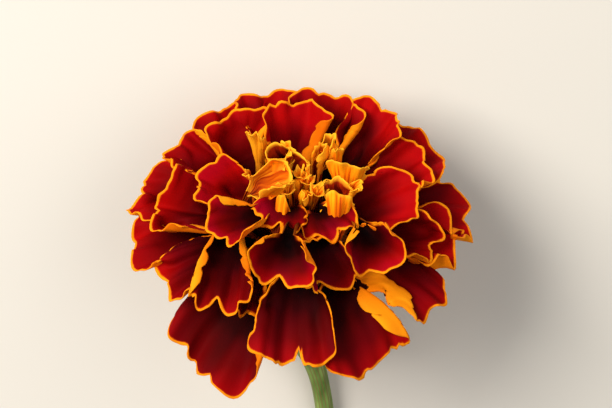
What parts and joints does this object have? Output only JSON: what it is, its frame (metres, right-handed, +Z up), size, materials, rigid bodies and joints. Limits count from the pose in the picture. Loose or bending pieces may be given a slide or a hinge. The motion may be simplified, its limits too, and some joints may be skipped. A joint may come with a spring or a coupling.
{
  "type": "marigold flower",
  "caption": "Double marigold flower head with ruffled crimson petals edged in gold, lying on its cut green stem.",
  "frame": {"origin": "on the surface the flower lies on, below the middle of its bounding box", "axes": "+Y along the stem from its cut end toward the flower head, +Z up, away from the surface; the face of the flower looks up and toward +Y"},
  "size_m": [0.0518, 0.097, 0.0427],
  "materials": {
    "green_stalk": "matt ribbed plant stalk",
    "green_bracts": "matt ribbed bracts with small oil glands",
    "crimson_petal": "velvety crimson petal with a thin golden edge and a golden back",
    "golden_floret": "soft golden floret"
  },
  "bodies": {
    "root": {"stem": "green_stalk", "involucre": "green_bracts", "ray_petals": "crimson_petal", "disc_florets": "golden_floret"}
  },
  "joints": []
}
